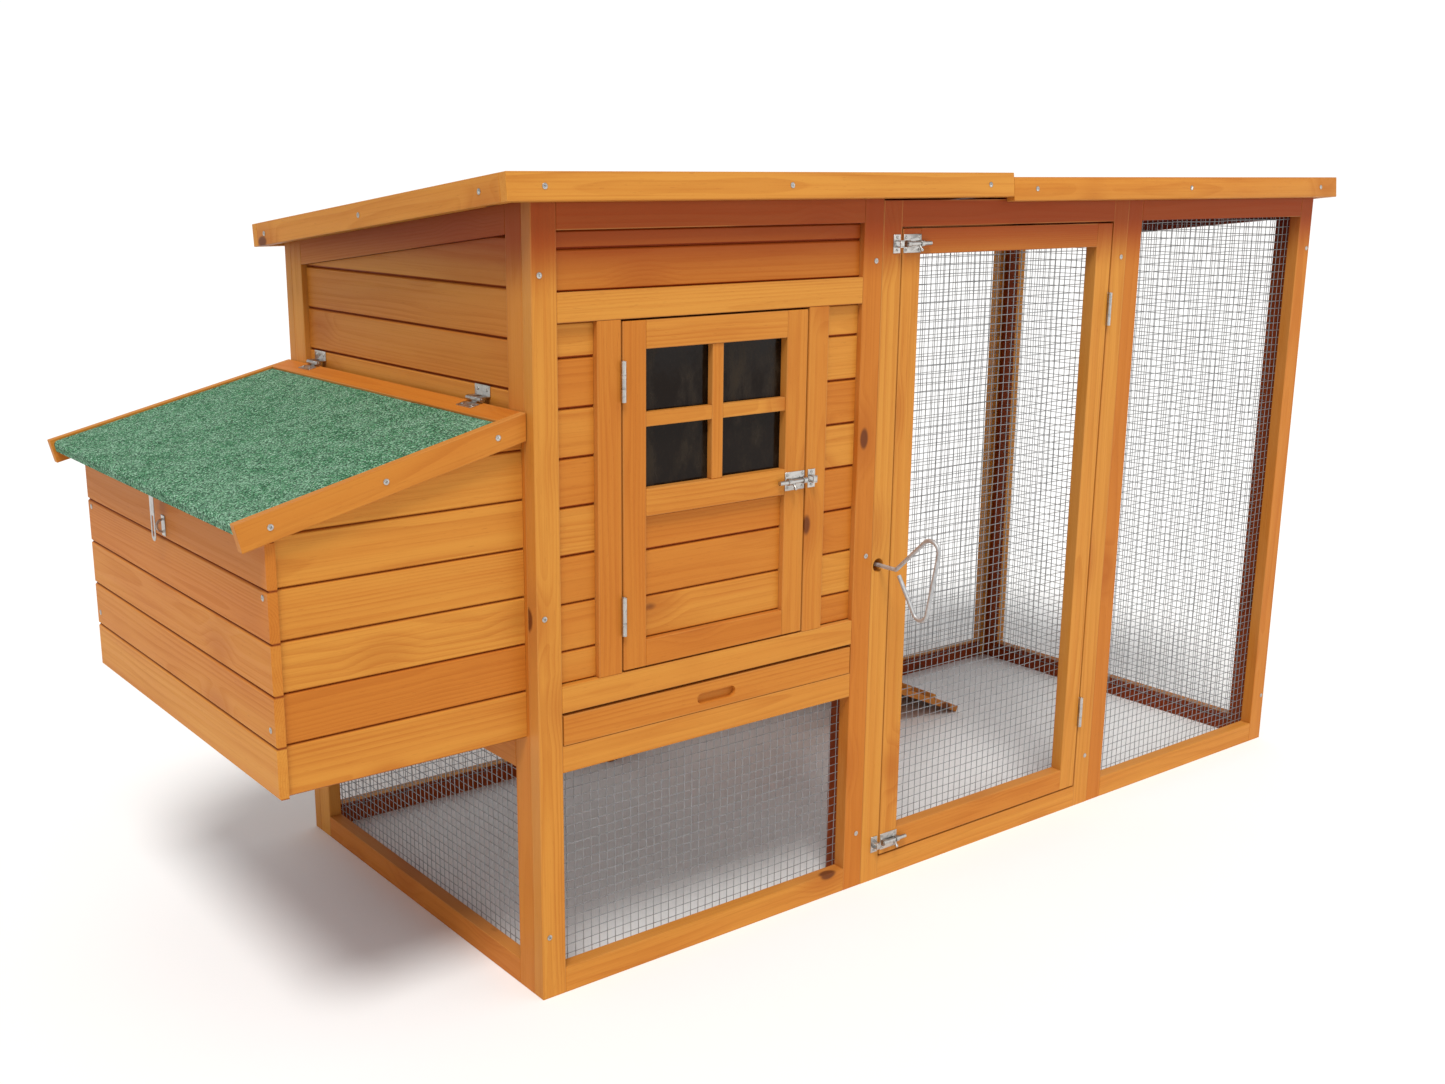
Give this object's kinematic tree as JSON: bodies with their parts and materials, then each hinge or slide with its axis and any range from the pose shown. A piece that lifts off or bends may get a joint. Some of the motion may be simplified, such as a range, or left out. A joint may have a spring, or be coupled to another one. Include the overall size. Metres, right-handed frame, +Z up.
{
  "type": "chicken coop",
  "caption": "Raised wooden hen house with a windowed door, felt-lidded side nest box, pull-out tray and a roofed wire-mesh run with its own door.",
  "frame": {"origin": "under the middle of the whole coop's outline, on the ground", "axes": "+X to the right along the front, towards the run; +Y to the back; +Z up"},
  "size_m": [2.0042, 0.8167, 1.0308],
  "materials": {
    "stained_fir": "honey-orange stain, satin, planed",
    "inner_fir": "red-brown stain in the shade, matt",
    "green_felt": "green mineral grit on roofing felt, rough",
    "zinc_mesh": "galvanised welded wire, dull",
    "zinc_hardware": "bright zinc plate",
    "zinc_screws": "bright zinc plate",
    "galvanised_tray": "spangled galvanised sheet",
    "galvanised_rod": "galvanised wire rod",
    "smoked_pane": "smoked acrylic, glossy"
  },
  "bodies": {
    "coop": {"house_front_frame": "stained_fir", "house_front_boards": "stained_fir", "door_jambs": "stained_fir", "house_side_frame": "stained_fir", "house_side_boards": "stained_fir", "house_back_frame": "stained_fir", "house_back_boards": "stained_fir", "house_mesh": "zinc_mesh", "partition_frame": "inner_fir", "partition_boards": "stained_fir", "pop_door_runners": "stained_fir", "tray_runners": "stained_fir", "perch": "stained_fir", "perch_brackets": "stained_fir", "run_front_frame": "stained_fir", "run_panel_frame": "stained_fir", "run_side_frame": "inner_fir", "run_back_frame": "inner_fir", "run_mesh": "zinc_mesh", "nest_front_wall": "stained_fir", "nest_side_walls": "stained_fir", "nest_battens": "stained_fir", "nest_floor": "inner_fir", "nest_divider": "stained_fir", "hasp_staple": "zinc_hardware", "roof_battens": "inner_fir", "roof_deck": "inner_fir", "roof_fascia": "stained_fir", "roof_felt": "green_felt", "fixed_hinge_leaves": "zinc_hardware", "hinge_pins": "zinc_hardware", "bolt_keepers": "zinc_hardware", "wall_screws": "zinc_screws"},
    "house_door": {"house_door_frame": "stained_fir", "house_door_boards": "stained_fir", "window_muntins": "stained_fir", "window_pane": "smoked_pane", "house_door_hinge_leaves": "zinc_hardware", "house_door_bolt_plate": "zinc_hardware"},
    "house_bolt": {"house_door_bolt": "zinc_hardware"},
    "run_door": {"run_door_frame": "stained_fir", "run_door_mesh": "zinc_mesh", "run_door_hinge_leaves": "zinc_hardware", "run_door_bolt_plates": "zinc_hardware"},
    "run_top_bolt": {"run_door_top_bolt": "zinc_hardware"},
    "run_bottom_bolt": {"run_door_bottom_bolt": "zinc_hardware"},
    "nest_lid": {"nest_lid_frame": "stained_fir", "nest_lid_panel": "inner_fir", "nest_lid_felt": "green_felt", "lid_hinge_leaves": "zinc_hardware", "hasp_leaf": "zinc_hardware", "lid_screws": "zinc_screws"},
    "hasp": {"hasp_strap": "zinc_hardware"},
    "tray": {"tray_pan": "galvanised_tray", "tray_front": "stained_fir"},
    "pop_slide": {"pop_door": "stained_fir", "pull_rod": "galvanised_rod"},
    "ramp": {"ramp_board": "stained_fir", "ramp_cleats": "stained_fir", "ramp_hinge_leaves": "zinc_hardware"}
  },
  "joints": [
    {"name": "house_door_hinge", "type": "hinge", "parent": "coop", "child": "house_door", "pos_m": [-0.51185, -0.29587, 0.637], "axis": [0, 0, -1], "range_deg": [0, 110]},
    {"name": "house_bolt_slide", "type": "slide", "parent": "house_door", "child": "house_bolt", "axis": [1, 0, 0], "range_m": [0, 0.015]},
    {"name": "run_door_hinge", "type": "hinge", "parent": "coop", "child": "run_door", "pos_m": [0.41265, -0.29587, 0.497], "axis": [0, 0, 1], "range_deg": [0, 110]},
    {"name": "run_top_bolt_slide", "type": "slide", "parent": "run_door", "child": "run_top_bolt", "axis": [-1, 0, 0], "range_m": [0, 0.015]},
    {"name": "run_bottom_bolt_slide", "type": "slide", "parent": "run_door", "child": "run_bottom_bolt", "axis": [-1, 0, 0], "range_m": [0, 0.015]},
    {"name": "nest_lid_hinge", "type": "hinge", "parent": "coop", "child": "nest_lid", "pos_m": [-0.6429, 0.03683, 0.7606], "axis": [0, 1, 0], "range_deg": [0, 85]},
    {"name": "hasp_hinge", "type": "hinge", "parent": "nest_lid", "child": "hasp", "pos_m": [-0.9801, 0.04133, 0.65117], "axis": [0, 1, 0], "range_deg": [-10, 80]},
    {"name": "tray_slide", "type": "slide", "parent": "coop", "child": "tray", "axis": [0, -1, 0], "range_m": [0, 0.6]},
    {"name": "pop_door_slide", "type": "slide", "parent": "coop", "child": "pop_slide", "axis": [0, -1, 0], "range_m": [0, 0.2]},
    {"name": "ramp_hinge", "type": "hinge", "parent": "coop", "child": "ramp", "pos_m": [-0.0739, 0.23433, 0.314], "axis": [0, -1, 0], "range_deg": [0, 45]}
  ]
}
